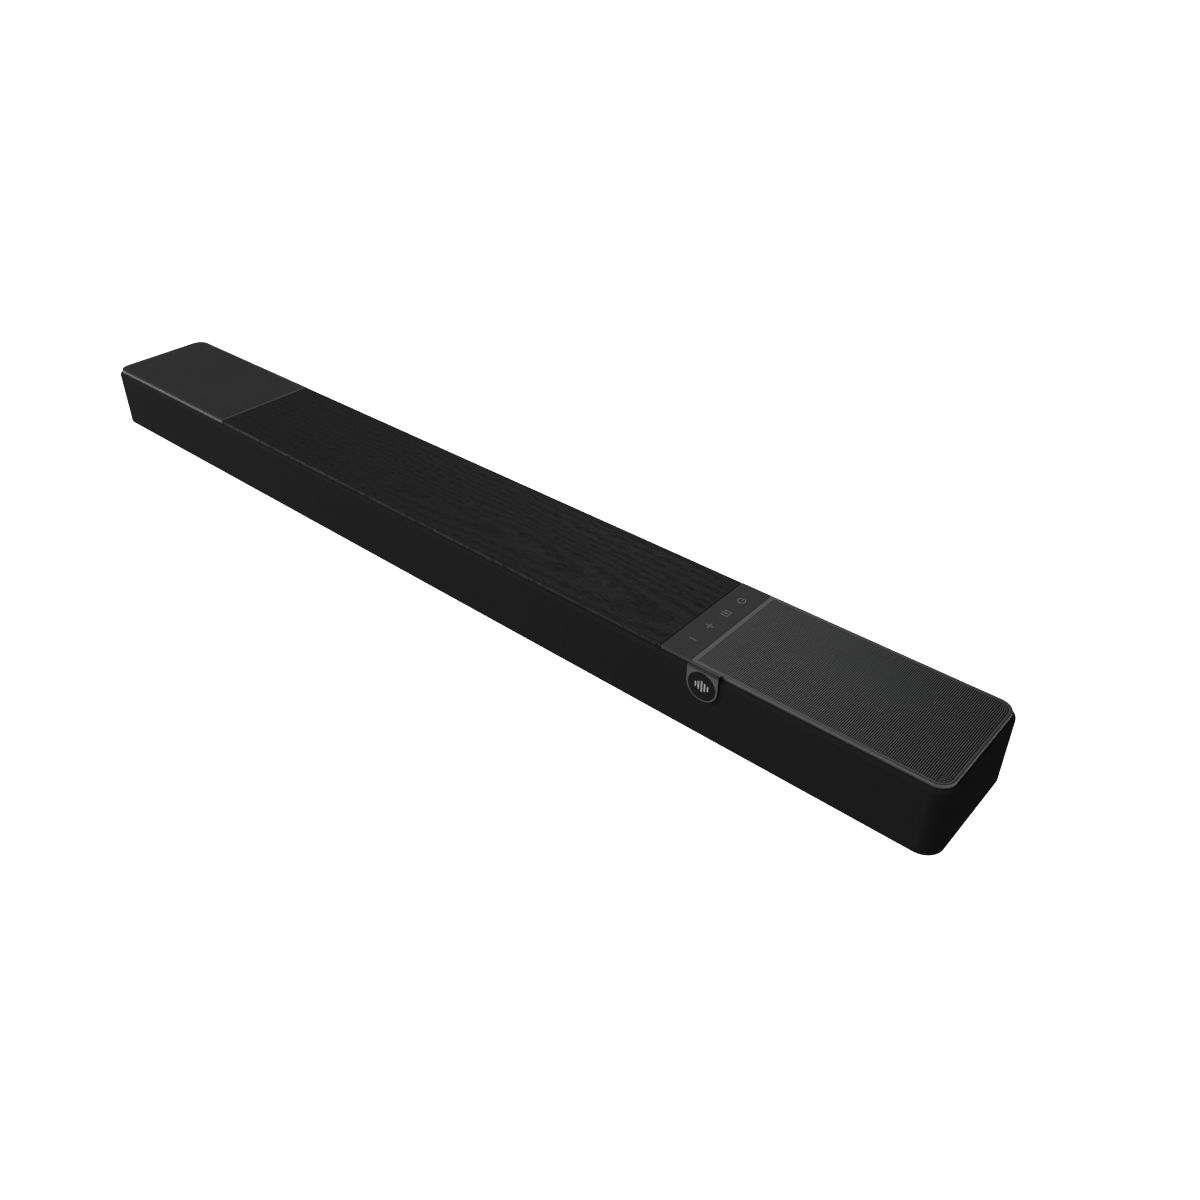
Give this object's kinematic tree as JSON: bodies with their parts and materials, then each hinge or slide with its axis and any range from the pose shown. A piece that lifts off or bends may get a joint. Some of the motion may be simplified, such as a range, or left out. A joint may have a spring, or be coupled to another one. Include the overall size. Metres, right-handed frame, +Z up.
{
  "type": "soundbar",
  "caption": "Long low soundbar: cloth-wrapped case, black wood-veneer top, ribbed end caps, a strip of touch controls, a hanging badge tag and rear sockets.",
  "frame": {"origin": "middle of the footprint, on the surface that the feet stand on", "axes": "+X along the bar to the badge end, -Y to the listener, +Z up"},
  "size_m": [1.118, 0.1298, 0.078],
  "materials": {
    "case_abs": "moulded ABS with a fine grain",
    "inner_abs": "moulded ABS, plain",
    "woven_cloth": "tight polyester weave, matte",
    "ash_veneer": "open-grain ash veneer, stained black",
    "soft_touch_strip": "soft-touch paint",
    "grey_print": "pad print",
    "cap_abs": "moulded ABS, satin",
    "tag_metal": "satin lacquer",
    "disc_lacquer": "lacquered",
    "rubber": "moulded, matte",
    "socket_steel": "tinned",
    "socket_plastic": "moulded",
    "brass_insert": "turned, knurled",
    "screw_steel": "zinc plated",
    "circuit_board": "solder mask",
    "heat_sink_aluminium": "extruded",
    "dome_film": "metallised film",
    "pressed_steel": "powder coated",
    "magnet_steel": "zinc plated",
    "cone_paper": "coated paper",
    "surround_rubber": "moulded butyl"
  },
  "bodies": {
    "case": {"bottom_tray": "case_abs", "rear_cover": "case_abs", "socket_bay": "case_abs", "front_baffle": "inner_abs", "grille_frame": "inner_abs", "grille_cloth": "woven_cloth", "top_deck": "inner_abs", "wood_top_panel": "ash_veneer", "control_panel": "soft_touch_strip", "control_icons": "grey_print", "left_ribbed_cap": "cap_abs", "right_ribbed_cap": "cap_abs", "badge_tag": "tag_metal", "badge_disc": "disc_lacquer", "badge_emblem": "grey_print", "left_foot": "rubber", "right_foot": "rubber", "left_woofer_basket": "pressed_steel", "left_woofer_motor": "magnet_steel", "left_woofer_suspension": "surround_rubber", "right_woofer_basket": "pressed_steel", "right_woofer_motor": "magnet_steel", "right_woofer_suspension": "surround_rubber", "front_left_basket": "pressed_steel", "front_left_motor": "magnet_steel", "front_left_suspension": "surround_rubber", "front_right_basket": "pressed_steel", "front_right_motor": "magnet_steel", "front_right_suspension": "surround_rubber", "height_left_basket": "pressed_steel", "height_left_motor": "magnet_steel", "height_left_suspension": "surround_rubber", "height_right_basket": "pressed_steel", "height_right_motor": "magnet_steel", "height_right_suspension": "surround_rubber", "tweeter_horn": "inner_abs", "tweeter_motor": "magnet_steel", "main_board": "circuit_board", "power_board": "circuit_board", "control_board": "circuit_board", "heat_sink": "heat_sink_aluminium", "hdmi_sockets": "socket_steel", "optical_socket": "socket_plastic", "usb_socket": "socket_steel", "power_inlet": "socket_plastic", "wall_inserts": "brass_insert", "case_screws": "screw_steel", "driver_screws": "screw_steel"},
    "left_woofer_diaphragm": {"left_woofer_cone": "cone_paper"},
    "right_woofer_diaphragm": {"right_woofer_cone": "cone_paper"},
    "front_left_diaphragm": {"front_left_cone": "cone_paper"},
    "front_right_diaphragm": {"front_right_cone": "cone_paper"},
    "height_left_diaphragm": {"height_left_cone": "cone_paper"},
    "height_right_diaphragm": {"height_right_cone": "cone_paper"},
    "tweeter_diaphragm": {"tweeter_dome": "dome_film"},
    "power_plunger": {"power_key": "case_abs"},
    "source_plunger": {"source_key": "case_abs"},
    "volume_up_plunger": {"volume_up_key": "case_abs"},
    "volume_down_plunger": {"volume_down_key": "case_abs"}
  },
  "joints": [
    {"name": "left_woofer_travel", "type": "slide", "parent": "case", "child": "left_woofer_diaphragm", "axis": [0, 0, -1], "range_m": [-0.003, 0.003], "stiffness_N_per_m": 1000, "deforming": ["left_woofer_suspension"]},
    {"name": "right_woofer_travel", "type": "slide", "parent": "case", "child": "right_woofer_diaphragm", "axis": [0, 0, -1], "range_m": [-0.003, 0.003], "stiffness_N_per_m": 1000, "deforming": ["right_woofer_suspension"]},
    {"name": "front_left_travel", "type": "slide", "parent": "case", "child": "front_left_diaphragm", "axis": [0, -1, 0], "range_m": [-0.0015, 0.0015], "stiffness_N_per_m": 1500, "deforming": ["front_left_suspension"]},
    {"name": "front_right_travel", "type": "slide", "parent": "case", "child": "front_right_diaphragm", "axis": [0, -1, 0], "range_m": [-0.0015, 0.0015], "stiffness_N_per_m": 1500, "deforming": ["front_right_suspension"]},
    {"name": "height_left_travel", "type": "slide", "parent": "case", "child": "height_left_diaphragm", "axis": [0, -0.309, 0.9511], "range_m": [-0.0015, 0.0015], "stiffness_N_per_m": 1500, "deforming": ["height_left_suspension"]},
    {"name": "height_right_travel", "type": "slide", "parent": "case", "child": "height_right_diaphragm", "axis": [0, -0.309, 0.9511], "range_m": [-0.0015, 0.0015], "stiffness_N_per_m": 1500, "deforming": ["height_right_suspension"]},
    {"name": "tweeter_travel", "type": "slide", "parent": "case", "child": "tweeter_diaphragm", "axis": [0, -1, 0], "range_m": [-0.0003, 0.0003], "stiffness_N_per_m": 2000},
    {"name": "power_key_press", "type": "slide", "parent": "case", "child": "power_plunger", "axis": [0, 0, -1], "range_m": [0, 0.0003], "stiffness_N_per_m": 3000},
    {"name": "source_key_press", "type": "slide", "parent": "case", "child": "source_plunger", "axis": [0, 0, -1], "range_m": [0, 0.0003], "stiffness_N_per_m": 3000},
    {"name": "volume_up_key_press", "type": "slide", "parent": "case", "child": "volume_up_plunger", "axis": [0, 0, -1], "range_m": [0, 0.0003], "stiffness_N_per_m": 3000},
    {"name": "volume_down_key_press", "type": "slide", "parent": "case", "child": "volume_down_plunger", "axis": [0, 0, -1], "range_m": [0, 0.0003], "stiffness_N_per_m": 3000}
  ]
}
